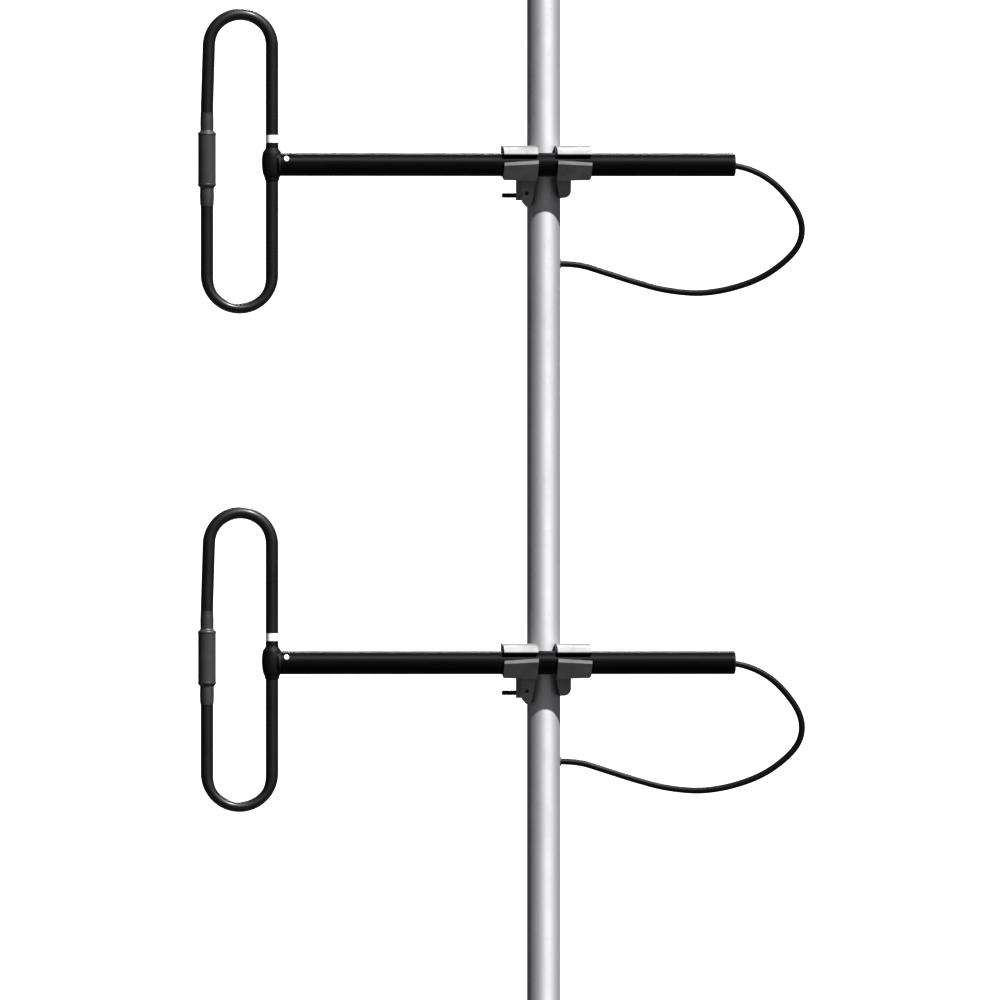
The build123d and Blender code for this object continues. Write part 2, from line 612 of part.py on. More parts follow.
def mast_cap():
    """Cap that closes the mast's top."""
    top = MAST_LENGTH + MAST_CAP_HEIGHT
    disc = rod_z(MAST_R, MAST_LENGTH, top)
    disc = fillet(disc.faces().sort_by(Axis.Z)[-1].edges(), MAST_CAP_ROUND)
    return disc + rod_z(MAST_BORE_R, MAST_LENGTH - MAST_CAP_DEPTH, MAST_LENGTH)


def mast_grommet(height):
    """Rubber bush in the mast's cable hole."""
    z = height + ENTRY_Z
    bush = rod_x(GROMMET_R, GROMMET_INNER_X, GROMMET_FACE_X, 0.0, z)
    return bush - rod_x(CABLE_R, GROMMET_INNER_X, GROMMET_FACE_X, 0.0, z)


def harness(height):
    """Cable from a grommet's face, round inside the mast, up or down to the splitter."""
    z = height + ENTRY_Z
    above = z > SPLITTER_TOP
    side = -1 if above else 1
    end = SPLITTER_TOP - SPLITTER_SOCKET if above else SPLITTER_BOTTOM + SPLITTER_SOCKET
    start = (GROMMET_FACE_X, 0.0, z)
    turn_in = (HARNESS_X + HARNESS_BEND, 0.0, z)
    turn_out = (HARNESS_X, 0.0, z + side * HARNESS_BEND)
    path = Line(start, turn_in)
    path += TangentArc(turn_in, turn_out, tangent=(-1, 0, 0))
    path += Line(turn_out, (HARNESS_X, 0.0, end))
    return sweep(Plane(start, z_dir=(-1, 0, 0)) * Circle(CABLE_R), path=path)


def power_splitter():
    """Two-way splitter: one cable into its top, one cable and the output into its bottom."""
    body = rod_z(SPLITTER_R, SPLITTER_BOTTOM, SPLITTER_TOP)
    body = chamfer(body.edges().filter_by(GeomType.CIRCLE), SPLITTER_CHAMFER)
    low = SPLITTER_BOTTOM + SPLITTER_SOCKET
    high = SPLITTER_TOP - SPLITTER_SOCKET
    body -= rod_z(CABLE_R, high, SPLITTER_TOP, HARNESS_X)
    body -= rod_z(CABLE_R, SPLITTER_BOTTOM, low, HARNESS_X)
    return body - rod_z(CABLE_R, SPLITTER_BOTTOM, low, OUTPUT_X, OUTPUT_Y)


def output_cable():
    """Cable from the splitter, past the lower bay's entry, to the connector."""
    end = -SPIGOT_LENGTH + CONNECTOR_THREAD + CONNECTOR_FLANGE + CONNECTOR_BODY
    points = [
        (OUTPUT_X, OUTPUT_Y, SPLITTER_BOTTOM + SPLITTER_SOCKET),
        (OUTPUT_X, OUTPUT_Y, OUTPUT_BEND_TOP),
        (0.0, 0.0, OUTPUT_BEND_BOTTOM),
        (0.0, 0.0, end),
    ]
    return cable(points)


def output_connector():
    """Panel socket in the spigot's mouth, with a threaded collar and a centre contact."""
    thread_z = -SPIGOT_LENGTH + CONNECTOR_THREAD
    flange_z = thread_z + CONNECTOR_FLANGE
    body = rod_z(CONNECTOR_THREAD_R, -SPIGOT_LENGTH, thread_z)
    socket_end = thread_z - CONNECTOR_WALL
    body -= rod_z(CONNECTOR_BORE_R, -SPIGOT_LENGTH, socket_end)
    body += rod_z(CONNECTOR_PIN_R, -SPIGOT_LENGTH + CONNECTOR_PIN_SET_BACK, socket_end)
    body += rod_z(SPIGOT_BORE / 2, thread_z, flange_z)
    return body + rod_z(CONNECTOR_BODY_R, flange_z, flange_z + CONNECTOR_BODY)


# ---- write every node ----


def write(name, shape):
    export_step(shape, f"parts/{name}.step")


BAY_NODES = {
    "boom_tube": boom_tube(),
    "boom_plug": boom_plug(),
    "boom_coax": boom_coax(),
    "boom_screws": boom_screws(),
    "feed_casting": feed_casting(),
    "feed_insulator": feed_insulator(),
    "feed_pin": feed_pin(),
    "loop_top_arm": loop_arm(INSULATOR_TOP, 1, TOP_BEND_R),
    "loop_bottom_arm": loop_arm(ARM_SOCKET_TOP, -1, BOTTOM_BEND_R),
    "joint_sleeve": joint_sleeve(),
    "joint_collars": joint_collars(),
    "joint_spigot": joint_spigot(),
    "clamp_body": clamp_body(),
    "clamp_right_cap": clamp_cap(),
    "clamp_left_cap": mirror(clamp_cap(), about=Plane.YZ),
    "clamp_cap_screws": cap_screws(),
    "clamp_stud": pinch_stud(),
    "clamp_washer": pinch_washer(),
    "clamp_nut": pinch_nut(),
    "loop_cable": cable(CABLE_ROUTE, name="loop cable"),
}

for bay, height in BAYS.items():
    for node, shape in BAY_NODES.items():
        write(f"{bay}_{node}", Pos(0, 0, height) * shape)
    write(f"{bay}_mast_grommet", mast_grommet(height))
    write(f"{bay}_harness", harness(height))

write("mast_tube", mast_tube())
write("mast_cap", mast_cap())
write("power_splitter", power_splitter())
write("output_cable", output_cable())
write("output_connector", output_connector())
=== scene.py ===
import json
import math

import bmesh
import bpy
from mathutils import Matrix, Vector, noise
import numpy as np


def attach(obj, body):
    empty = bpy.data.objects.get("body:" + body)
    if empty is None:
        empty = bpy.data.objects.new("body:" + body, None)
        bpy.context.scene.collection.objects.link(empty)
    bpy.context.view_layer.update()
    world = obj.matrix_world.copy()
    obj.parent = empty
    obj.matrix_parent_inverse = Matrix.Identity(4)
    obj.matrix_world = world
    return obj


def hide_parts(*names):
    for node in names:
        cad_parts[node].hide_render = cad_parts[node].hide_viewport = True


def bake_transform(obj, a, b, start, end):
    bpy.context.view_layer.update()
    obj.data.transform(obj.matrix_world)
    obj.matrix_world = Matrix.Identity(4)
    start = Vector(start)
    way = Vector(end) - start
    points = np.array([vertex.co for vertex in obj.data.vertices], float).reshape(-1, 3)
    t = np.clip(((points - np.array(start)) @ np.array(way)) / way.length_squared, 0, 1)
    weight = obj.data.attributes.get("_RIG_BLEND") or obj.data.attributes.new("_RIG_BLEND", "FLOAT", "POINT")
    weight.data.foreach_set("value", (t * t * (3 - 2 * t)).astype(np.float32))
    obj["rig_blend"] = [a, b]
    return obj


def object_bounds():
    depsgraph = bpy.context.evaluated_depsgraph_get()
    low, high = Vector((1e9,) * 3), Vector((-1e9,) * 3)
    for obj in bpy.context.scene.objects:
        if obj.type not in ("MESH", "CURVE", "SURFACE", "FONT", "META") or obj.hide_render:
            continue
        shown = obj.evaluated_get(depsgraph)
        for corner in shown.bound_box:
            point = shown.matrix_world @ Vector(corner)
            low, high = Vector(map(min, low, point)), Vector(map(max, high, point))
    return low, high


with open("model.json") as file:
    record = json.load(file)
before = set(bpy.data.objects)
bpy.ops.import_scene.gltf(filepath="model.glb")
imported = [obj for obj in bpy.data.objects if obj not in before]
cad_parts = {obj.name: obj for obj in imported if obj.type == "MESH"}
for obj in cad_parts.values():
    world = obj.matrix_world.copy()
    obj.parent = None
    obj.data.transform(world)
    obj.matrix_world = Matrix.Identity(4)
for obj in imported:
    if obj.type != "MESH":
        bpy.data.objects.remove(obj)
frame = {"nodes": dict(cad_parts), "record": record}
cad_box = [list(corner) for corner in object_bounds()]

# Two-bay folded-dipole antenna on a pipe mast. Metres, in the frame of the CAD model: the mast's axis is z,
# the booms lie along x in front of it, and the front faces -y.

BAYS = {"lower": 0.400, "upper": 0.900}  # height of each bay's boom axis
BOOM_Y = -0.0330

# ---- camera ----

CAMERA_AZIMUTH = math.radians(-5.5)
CAMERA_DISTANCE = 40.0
CAMERA_CLIP = (0.1, 100.0)
SENSOR = 36.0
PICTURE_WIDTH = 1.004  # metres across the picture, at the booms
PICTURE_CENTRE_ACROSS = -0.0439
PICTURE_CENTRE_UP = 0.5632


def make_camera():
    back = Vector((math.sin(CAMERA_AZIMUTH), -math.cos(CAMERA_AZIMUTH), 0))
    right = Vector((math.cos(CAMERA_AZIMUTH), math.sin(CAMERA_AZIMUTH), 0))
    data = bpy.data.cameras.new("camera")
    data.sensor_width = SENSOR
    data.lens = SENSOR * (CAMERA_DISTANCE + BOOM_Y) / PICTURE_WIDTH
    data.clip_start, data.clip_end = CAMERA_CLIP
    camera = bpy.data.objects.new("camera", data)
    bpy.context.scene.collection.objects.link(camera)
    target = right * PICTURE_CENTRE_ACROSS + Vector((0, 0, PICTURE_CENTRE_UP))
    camera.location = target + back * CAMERA_DISTANCE
    camera.rotation_euler = (-back).to_track_quat("-Z", "Y").to_euler()
    bpy.context.scene.camera = camera


make_camera()

# ---- light, floor and background ----

# Directions are given in degrees: azimuth from the front towards the +X side, then elevation.
GLOW_DIRECTION = (24.0, 15.0)
GLOW_STRENGTH = 0.16
GLOW_FALLOFF = 7.0
BACKDROP_COLOUR = (1, 1, 1, 1)

# Light of the room by height: 0 is straight down, 0.5 the horizon, 1 straight up.
ROOM_LIGHT = (
    (0.00, (0.45, 0.445, 0.44, 1)),
    (0.28, (0.31, 0.306, 0.302, 1)),
    (0.48, (0.055, 0.056, 0.058, 1)),
    (1.00, (0.22, 0.225, 0.24, 1)),
)

# Sockets of Blender's Mix node when it mixes colours.
MIX_FACTOR, MIX_A, MIX_B, MIX_RESULT = 0, 6, 7, 2


def towards(azimuth, elevation):
    """Unit vector from the object towards a direction given in degrees."""
    azimuth, elevation = math.radians(azimuth), math.radians(elevation)
    return Vector(
        (
            math.sin(azimuth) * math.cos(elevation),
            -math.cos(azimuth) * math.cos(elevation),
            math.sin(elevation),
        )
    )


def sun(name, azimuth, elevation, strength, width, colour=(1, 1, 1)):
    """A sun lamp. Its width is the angle it seems to fill in the sky, in degrees."""
    data = bpy.data.lights.new(name, "SUN")
    data.energy = strength
    data.angle = math.radians(width)
    data.color = colour
    lamp = bpy.data.objects.new(name, data)
    bpy.context.scene.collection.objects.link(lamp)
    lamp.rotation_euler = towards(azimuth, elevation).to_track_quat("Z", "Y").to_euler()


def room_colour(tree, direction):
    """Output of nodes that colour the room by height, with a soft glow in one direction."""
    split = tree.nodes.new("ShaderNodeSeparateXYZ")
    height = tree.nodes.new("ShaderNodeMath")
    height.operation = "MULTIPLY_ADD"
    height.inputs[1].default_value = 0.5
    height.inputs[2].default_value = 0.5
    ramp = tree.nodes.new("ShaderNodeValToRGB")
    stops = ramp.color_ramp.elements
    for place, _ in ROOM_LIGHT[1:-1]:
        stops.new(place)
    for stop, (place, colour) in zip(stops, ROOM_LIGHT):
        stop.position = place
        stop.color = colour
    tree.links.new(direction, split.inputs[0])
    tree.links.new(split.outputs["Z"], height.inputs[0])
    tree.links.new(height.outputs[0], ramp.inputs[0])

    facing = tree.nodes.new("ShaderNodeVectorMath")
    facing.operation = "DOT_PRODUCT"
    facing.inputs[1].default_value = towards(*GLOW_DIRECTION)
    front = tree.nodes.new("ShaderNodeMath")
    front.operation = "MAXIMUM"
    front.inputs[1].default_value = 0.0
    narrow = tree.nodes.new("ShaderNodeMath")
    narrow.operation = "POWER"
    narrow.inputs[1].default_value = GLOW_FALLOFF
    glow = tree.nodes.new("ShaderNodeMix")
    glow.data_type = "RGBA"
    glow.blend_type = "ADD"
    glow.inputs[MIX_B].default_value = (GLOW_STRENGTH, GLOW_STRENGTH, GLOW_STRENGTH, 1)
    tree.links.new(direction, facing.inputs[0])
    tree.links.new(facing.outputs["Value"], front.inputs[0])
    tree.links.new(front.outputs[0], narrow.inputs[0])
    tree.links.new(narrow.outputs[0], glow.inputs[MIX_FACTOR])
    tree.links.new(ramp.outputs[0], glow.inputs[MIX_A])
    return glow.outputs[MIX_RESULT]


def make_world():
    """White where the camera looks past the object. The object itself is lit by a dimmer room."""
    world = bpy.data.worlds.new("room")
    bpy.context.scene.world = world
    world.use_nodes = True
    tree = world.node_tree
    tree.nodes.clear()
    coord = tree.nodes.new("ShaderNodeTexCoord")
    path = tree.nodes.new("ShaderNodeLightPath")
    backdrop = tree.nodes.new("ShaderNodeBackground")
    backdrop.inputs["Color"].default_value = BACKDROP_COLOUR
    room = tree.nodes.new("ShaderNodeBackground")
    mix = tree.nodes.new("ShaderNodeMixShader")
    out = tree.nodes.new("ShaderNodeOutputWorld")
    tree.links.new(room_colour(tree, coord.outputs["Generated"]), room.inputs["Color"])
    tree.links.new(path.outputs["Is Camera Ray"], mix.inputs[0])
    tree.links.new(room.outputs[0], mix.inputs[1])
    tree.links.new(backdrop.outputs[0], mix.inputs[2])
    tree.links.new(mix.outputs[0], out.inputs[0])


FLOOR_RADIUS = 1.7
FLOOR_GAP = 0.0005
FLOOR_COLOUR = (0.42, 0.42, 0.42, 1)


def make_floor():
    """A pale round floor just under the spigot. It takes the suns' shadows and throws no light back up."""
    mesh = bmesh.new()
    bmesh.ops.create_circle(mesh, cap_ends=True, radius=FLOOR_RADIUS, segments=128)
    data = bpy.data.meshes.new("floor")
    mesh.to_mesh(data)
    mesh.free()
    floor = bpy.data.objects.new("floor", data)
    bpy.context.scene.collection.objects.link(floor)
    floor.location = (0, 0, cad_box[0][2] - FLOOR_GAP)
    floor.visible_diffuse = False
    floor.visible_glossy = False
    material = bpy.data.materials.new("floor")
    material.use_nodes = True
    shader = material.node_tree.nodes["Principled BSDF"]
    shader.inputs["Base Color"].default_value = FLOOR_COLOUR
    shader.inputs["Roughness"].default_value = 0.9
    shader.inputs["Specular IOR Level"].default_value = 0.1
    data.materials.append(material)


sun("key", 30.0, 50.0, strength=7.3, width=1.0, colour=(1.0, 0.985, 0.96))
sun("back", 165.0, 40.0, strength=2.2, width=12.0)
make_world()
make_floor()
view = bpy.context.scene.view_settings
view.view_transform = "Standard"
view.look = "High Contrast"

# ---- materials ----

COAT_ROUGHNESS = 0.25
EVEN = (1, 1, 1)
ALONG_X = (0.012, 1, 1)
ALONG_Z = (1, 1, 0.012)


def scaled(colour, factor):
    """A colour made darker or lighter, up to white."""
    return tuple(min(1, channel * factor) for channel in colour)


class Tree:
    """A material's node tree, with short ways to add and join nodes. Patterns lie in the object's metres."""

    def __init__(self, name):
        self.material = bpy.data.materials.new(name)
        self.material.use_nodes = True
        self.nodes = self.material.node_tree.nodes
        self.links = self.material.node_tree.links
        self.shader = self.nodes["Principled BSDF"]
        self.coord = self.nodes.new("ShaderNodeTexCoord")

    def join(self, output, socket):
        self.links.new(output, socket)

    def noise(self, scale, stretch=EVEN, detail=4.0, rough=0.55, source="Object", distortion=0.0):
        """Noise whose features are about 1/scale metres across, divided by stretch along each axis."""
        mapping = self.nodes.new("ShaderNodeMapping")
        mapping.inputs["Scale"].default_value = stretch
        self.join(self.coord.outputs[source], mapping.inputs["Vector"])
        texture = self.nodes.new("ShaderNodeTexNoise")
        texture.inputs["Scale"].default_value = scale
        texture.inputs["Detail"].default_value = detail
        texture.inputs["Roughness"].default_value = rough
        texture.inputs["Distortion"].default_value = distortion
        self.join(mapping.outputs[0], texture.inputs["Vector"])
        return texture.outputs["Fac"]

    def cells(self, scale):
        """Distance to the nearest of many points, which are about 1/scale metres apart."""
        texture = self.nodes.new("ShaderNodeTexVoronoi")
        texture.inputs["Scale"].default_value = scale
        self.join(self.coord.outputs["Object"], texture.inputs["Vector"])
        return texture.outputs["Distance"]

    def spread(self, value, low, high, start=0.3, end=0.7):
        """Maps a pattern's start..end onto low..high."""
        node = self.nodes.new("ShaderNodeMapRange")
        node.inputs["From Min"].default_value = start
        node.inputs["From Max"].default_value = end
        node.inputs["To Min"].default_value = low
        node.inputs["To Max"].default_value = high
        self.join(value, node.inputs["Value"])
        return node.outputs[0]

    def add(self, a, b):
        node = self.nodes.new("ShaderNodeMath")
        node.operation = "ADD"
        self.join(a, node.inputs[0])
        self.join(b, node.inputs[1])
        return node.outputs[0]

    def mix(self, factor, a, b):
        """Goes from colour a to colour b. Each is a plain colour or another node's output."""
        node = self.nodes.new("ShaderNodeMix")
        node.data_type = "RGBA"
        for socket, value in ((node.inputs[MIX_A], a), (node.inputs[MIX_B], b)):
            if isinstance(value, tuple):
                socket.default_value = (*value, 1)
            else:
                self.join(value, socket)
        self.join(factor, node.inputs[MIX_FACTOR])
        return node.outputs[MIX_RESULT]

    def bump(self, height, distance, strength, after=None):
        """Relief of a given height in metres, on top of another relief if there is one."""
        node = self.nodes.new("ShaderNodeBump")
        node.inputs["Strength"].default_value = strength
        node.inputs["Distance"].default_value = distance
        self.join(height, node.inputs["Height"])
        if after is not None:
            self.join(after, node.inputs["Normal"])
        return node.outputs[0]

    def finish(self, colour, roughness, normal, metallic=0.0, coat=0.0, specular=0.5):
        inputs = self.shader.inputs
        self.join(colour, inputs["Base Color"])
        self.join(roughness, inputs["Roughness"])
        self.join(normal, inputs["Normal"])
        inputs["Metallic"].default_value = metallic
        inputs["Coat Weight"].default_value = coat
        inputs["Coat Roughness"].default_value = COAT_ROUGHNESS
        inputs["Specular IOR Level"].default_value = specular
        return self.material


def drawn_aluminium(name, stretch, light, dark, roughness, metallic):
    """Drawn or extruded tube: fine die lines along it, a cloudy oxide film, a few handling marks."""
    t = Tree(name)
    lines = t.noise(1500, stretch, 3.0)
    clouds = t.noise(38, (1, 1, 0.55), 5.0, 0.6)
    marks = t.noise(260, (1, 1, 0.35), 2.0, 0.5, distortion=1.5)
    film = t.mix(t.spread(clouds, 0, 1, 0.3, 0.72), light, dark)
    film = t.mix(t.spread(lines, 0, 0.35), film, dark)
    spots = t.spread(marks, 0, 0.4, 0.66, 0.74)
    colour = t.mix(spots, film, scaled(dark, 0.8))
    rough = t.spread(clouds, roughness - 0.04, roughness + 0.05)
    rough = t.add(rough, t.spread(lines, -0.03, 0.03))
    normal = t.bump(lines, 0.00002, 0.35)
    return t.finish(colour, rough, normal, metallic)


def coated_tube(name, stretch, tone, roughness, coat=0.0, specular=0.5):
    """Black coated or anodised tube: faint lines along it, dust in the finish, soft patches."""
    t = Tree(name)
    lines = t.noise(1300, stretch, 3.0)
    patches = t.noise(30, EVEN, 5.0, 0.6)
    dust = t.noise(2600, EVEN, 2.0)
    colour = t.mix(t.spread(patches, 0, 1), tone, scaled(tone, 1.5))
    colour = t.mix(t.spread(lines, 0, 0.5), colour, scaled(tone, 0.7))
    colour = t.mix(t.spread(dust, 0, 0.25, 0.7, 0.8), colour, scaled(tone, 6))
    rough = t.spread(patches, roughness - 0.05, roughness + 0.06)
    normal = t.bump(lines, 0.000015, 0.3)
    normal = t.bump(dust, 0.00001, 0.25, normal)
    return t.finish(colour, rough, normal, 0.0, coat, specular)


def cast_metal(name, light, dark, roughness, metallic, grain=0.00012, specular=0.5):
    """Sand-like skin of a casting: grain, pits and darker patches where it was handled."""
    t = Tree(name)
    skin = t.noise(1100, EVEN, 6.0, 0.65)
    coarse = t.noise(240, EVEN, 4.0, 0.6)
    stains = t.noise(55, EVEN, 5.0, 0.6)
    pits = t.cells(620)
    colour = t.mix(t.spread(stains, 0, 1, 0.35, 0.7), light, dark)
    colour = t.mix(t.spread(skin, 0, 0.5, 0.35, 0.65), colour, dark)
    colour = t.mix(t.spread(pits, 0.55, 0, 0.05, 0.16), colour, scaled(dark, 0.45))
    rough = t.spread(coarse, roughness - 0.06, roughness + 0.08)
    normal = t.bump(coarse, grain * 1.6, 0.5)
    normal = t.bump(skin, grain, 0.7, normal)
    normal = t.bump(t.spread(pits, 0, 1, 0.03, 0.16), grain, 0.5, normal)
    return t.finish(colour, rough, normal, metallic, specular=specular)


def moulded(name, light, dark, roughness, stretch=EVEN, specular=0.5):
    """Moulded plastic or rubber: fine grain, soft clouding and a little dust."""
    t = Tree(name)
    fine = t.noise(1400, stretch, 4.0, 0.6)
    clouds = t.noise(70, EVEN, 5.0, 0.6)
    dust = t.noise(900, EVEN, 2.0)
    colour = t.mix(t.spread(clouds, 0, 1), light, dark)
    colour = t.mix(t.spread(fine, 0, 0.4), colour, dark)
    colour = t.mix(t.spread(dust, 0, 0.25, 0.66, 0.78), colour, scaled(light, 1.8))
    rough = t.spread(clouds, roughness - 0.05, roughness + 0.06)
    rough = t.add(rough, t.spread(fine, -0.03, 0.03))
    return t.finish(colour, rough, t.bump(fine, 0.00003, 0.6), specular=specular)


def turned_metal(name, light, dark, roughness, metallic=1.0):
    """Machined or plated metal: a fine tooled grain, small stains and rubbed patches."""
    t = Tree(name)
    grain = t.noise(2200, EVEN, 3.0)
    stains = t.noise(300, EVEN, 5.0, 0.65)
    colour = t.mix(t.spread(stains, 0, 1, 0.4, 0.72), light, dark)
    rough = t.spread(stains, roughness - 0.06, roughness + 0.08)
    rough = t.add(rough, t.spread(grain, -0.04, 0.04))
    return t.finish(colour, rough, t.bump(grain, 0.00001, 0.4), metallic)


def jacket(name, light, dark, dusty, roughness):
    """Cable jacket: faint lines along it from the extruder, soft sheen, a little dust."""
    t = Tree(name)
    lines = t.noise(60, (1, 0.05, 1), 3.0, 0.5, "UV")
    patches = t.noise(90, EVEN, 4.0, 0.6)
    dust = t.noise(2200, EVEN, 2.0)
    colour = t.mix(t.spread(patches, 0, 1), dark, light)
    colour = t.mix(t.spread(lines, 0, 0.4), colour, (0.004, 0.004, 0.0045))
    colour = t.mix(t.spread(dust, 0, 0.3, 0.68, 0.8), colour, dusty)
    rough = t.spread(patches, roughness - 0.05, roughness + 0.05)
    rough = t.add(rough, t.spread(lines, -0.02, 0.03))
    return t.finish(colour, rough, t.bump(lines, 0.00002, 0.4), specular=0.2)


LOOKS = {}


def add_look(make, slot, *values, **options):
    """Makes the finish of one of the record's material slots."""
    LOOKS[slot] = make(slot, *values, **options)


MAST_LIGHT, MAST_DARK = (0.65, 0.658, 0.688), (0.475, 0.481, 0.503)
add_look(drawn_aluminium, "mast_aluminium", ALONG_Z, MAST_LIGHT, MAST_DARK, 0.60, 0.92)
add_look(coated_tube, "black_coated_tube", ALONG_X, (0.0045, 0.0045, 0.005), 0.46, specular=0.08)
add_look(coated_tube, "black_coated_loop", EVEN, (0.0035, 0.0035, 0.0045), 0.57, coat=0.2, specular=0.42)

BLACK_SKIN, BLACK_PITS = (0.006, 0.006, 0.006), (0.004, 0.004, 0.004)
add_look(cast_metal, "black_coated_casting", BLACK_SKIN, BLACK_PITS, 0.6, 0.0, grain=0.00007, specular=0.25)
add_look(cast_metal, "cast_aluminium", (0.285, 0.285, 0.29), (0.20, 0.20, 0.205), 0.74, 0.10)

add_look(moulded, "black_plug", (0.013, 0.013, 0.013), (0.009, 0.009, 0.009), 0.5, specular=0.3)
add_look(moulded, "black_rubber", (0.022, 0.022, 0.022), (0.014, 0.014, 0.014), 0.6)
add_look(moulded, "white_insulator", (0.64, 0.64, 0.63), (0.56, 0.56, 0.55), 0.55, specular=0.3)
SLEEVE_LIGHT, SLEEVE_DARK = (0.046, 0.046, 0.045), (0.036, 0.036, 0.036)
add_look(moulded, "grey_sleeve", SLEEVE_LIGHT, SLEEVE_DARK, 0.7, (1, 1, 0.08), specular=0.3)
SEAL_LIGHT, SEAL_DARK = (0.044, 0.044, 0.048), (0.026, 0.026, 0.029)
add_look(moulded, "sealing_collar", SEAL_LIGHT, SEAL_DARK, 0.5, (1, 1, 0.2), specular=0.6)

add_look(turned_metal, "inner_aluminium", (0.80, 0.80, 0.81), (0.66, 0.66, 0.67), 0.35)
add_look(turned_metal, "stainless_screw", (0.66, 0.65, 0.64), (0.50, 0.49, 0.48), 0.5)
add_look(turned_metal, "dark_stud", (0.10, 0.10, 0.10), (0.05, 0.045, 0.04), 0.45, metallic=0.7)
add_look(turned_metal, "brass", (0.80, 0.60, 0.30), (0.55, 0.38, 0.16), 0.3)
add_look(jacket, "cable_jacket", (0.009, 0.009, 0.0095), (0.006, 0.006, 0.0065), (0.05, 0.05, 0.05), 0.51)

for part in frame["record"]["subparts"]:
    node = frame["nodes"][part["node"]]
    node.data.materials.clear()
    node.data.materials.append(LOOKS[part["material_slot"]])

# ---- making pieces ----


def new_object(name, mesh, look, sharp=40.0):
    """Makes a piece from a bmesh and frees it. Edges that turn by more than sharp degrees stay crisp."""
    for face in mesh.faces:
        face.smooth = True
    for edge in mesh.edges:
        edge.smooth = edge.calc_face_angle(0) < math.radians(sharp)
    data = bpy.data.meshes.new(name)
    mesh.to_mesh(data)
    mesh.free()
    data.materials.append(LOOKS[look])
    piece = bpy.data.objects.new(name, data)
    bpy.context.scene.collection.objects.link(piece)
    return piece


def finish_piece(piece, body, *nodes):
    """The piece rides on a body and stands for the CAD nodes."""
    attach(piece, body)
    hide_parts(*nodes)


def skin(mesh, rings, run):
    """Faces between rings of points, with a UV map: share of the way round, and metres along."""
    uv = mesh.loops.layers.uv.verify()
    sides = len(rings[0])
    for i in range(len(rings) - 1):
        for k in range(sides):
            n = (k + 1) % sides
            face = mesh.faces.new((rings[i][k], rings[i + 1][k], rings[i + 1][n], rings[i][n]))
            corners = ((k, i), (k, i + 1), (k + 1, i + 1), (k + 1, i))
            for loop, (around, along_run) in zip(face.loops, corners):
                loop[uv].uv = (around / sides, run[along_run])


# ---- free cables ----

CABLE_RADIUS = 0.0031
CABLE_SIDES = 24
HELD_IN_PLUG = 0.014
HELD_AT_MAST = 0.012

# From the boom's plug to the bush in the mast, heights from the boom's axis.
CABLE_ROUTE = [
    (0.1778, -0.0330, -0.0003),
    (0.1925, -0.0330, -0.0003),
    (0.2175, -0.0325, -0.0095),
    (0.2375, -0.0310, -0.0250),
    (0.2575, -0.0285, -0.0520),
    (0.2585, -0.0260, -0.0760),
    (0.2445, -0.0225, -0.0955),
    (0.2140, -0.0175, -0.1170),
    (0.1660, -0.0115, -0.1300),
    (0.1250, -0.0070, -0.1270),
    (0.0920, -0.0035, -0.1180),
    (0.0595, -0.0010, -0.1075),
    (0.0345, 0.0000, -0.0995),
    (0.0173, 0.0000, -0.0995),
]


def smooth_line(route):
    """Points along one NURBS spline whose control points are the route's."""
    curve = bpy.data.curves.new("route", "CURVE")
    curve.dimensions = "3D"
    curve.resolution_u = 16
    spline = curve.splines.new("NURBS")
    spline.points.add(len(route) - 1)
    for point, at in zip(spline.points, route):
        point.co = (*at, 1)
    spline.order_u = 3
    spline.use_endpoint_u = True
    holder = bpy.data.objects.new("route", curve)
    bpy.context.scene.collection.objects.link(holder)
    line = bpy.data.meshes.new_from_object(holder)
    points = [v.co.copy() for v in line.vertices]
    bpy.data.objects.remove(holder)
    bpy.data.meshes.remove(line)
    bpy.data.curves.remove(curve)
    if (points[0] - Vector(route[0])).length > (points[-1] - Vector(route[0])).length:
        points.reverse()
    return points


def round_cable(points):
    """A round rod whose rings are centred on the points and don't twist."""
    mesh = bmesh.new()
    mesh.loops.layers.uv.new("UVMap")
    tangents = []
    for i in range(len(points)):
        before = points[max(i - 1, 0)]
        after = points[min(i + 1, len(points) - 1)]
        tangents.append((after - before).normalized())
    side = tangents[0].cross(Vector((0, 0, 1))).normalized()
    rings, run, length = [], [], 0.0
    for i, (point, tangent) in enumerate(zip(points, tangents)):
        if i:
            side = tangents[i - 1].rotation_difference(tangent) @ side
            length += (point - points[i - 1]).length
        up = tangent.cross(side).normalized()
        ring = []
        for k in range(CABLE_SIDES):
            a = math.tau * k / CABLE_SIDES
            across = side * (CABLE_RADIUS * math.cos(a))
            ring.append(mesh.verts.new(point + across + up * (CABLE_RADIUS * math.sin(a))))
        rings.append(ring)
        run.append(length)
    skin(mesh, rings, run)
    mesh.faces.new(rings[0])
    mesh.faces.new(list(reversed(rings[-1])))
    bmesh.ops.recalc_face_normals(mesh, faces=mesh.faces)
    return mesh


def loop_cable(bay, height):
    """One cable in two pieces that meet at its lowest point. The first is bent between boom and clamp, the
    second between clamp and mast."""
    points = smooth_line([(x, y, z + height) for x, y, z in CABLE_ROUTE])
    lowest = min(range(len(points)), key=lambda i: points[i].z)
    from_boom, to_mast = points[: lowest + 1], points[lowest:]
    held_in_plug = from_boom[0] + Vector((HELD_IN_PLUG, 0, 0))
    held_at_mast = to_mast[-1] + Vector((HELD_AT_MAST, 0, 0))
    boom, clamp = f"{bay}_boom", f"{bay}_clamp"
    for end, run, bodies, start, stop in (
        ("boom", from_boom, (boom, clamp), held_in_plug, from_boom[-1]),
        ("mast", to_mast, (clamp, "mast"), to_mast[0], held_at_mast),
    ):
        piece = new_object(f"{bay}_cable_{end}_side", round_cable(run), "cable_jacket")
        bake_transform(piece, *bodies, start=start, end=stop)
        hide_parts(f"{bay}_loop_cable")


# ---- castings, whose corners are rounded as they come from the mould ----

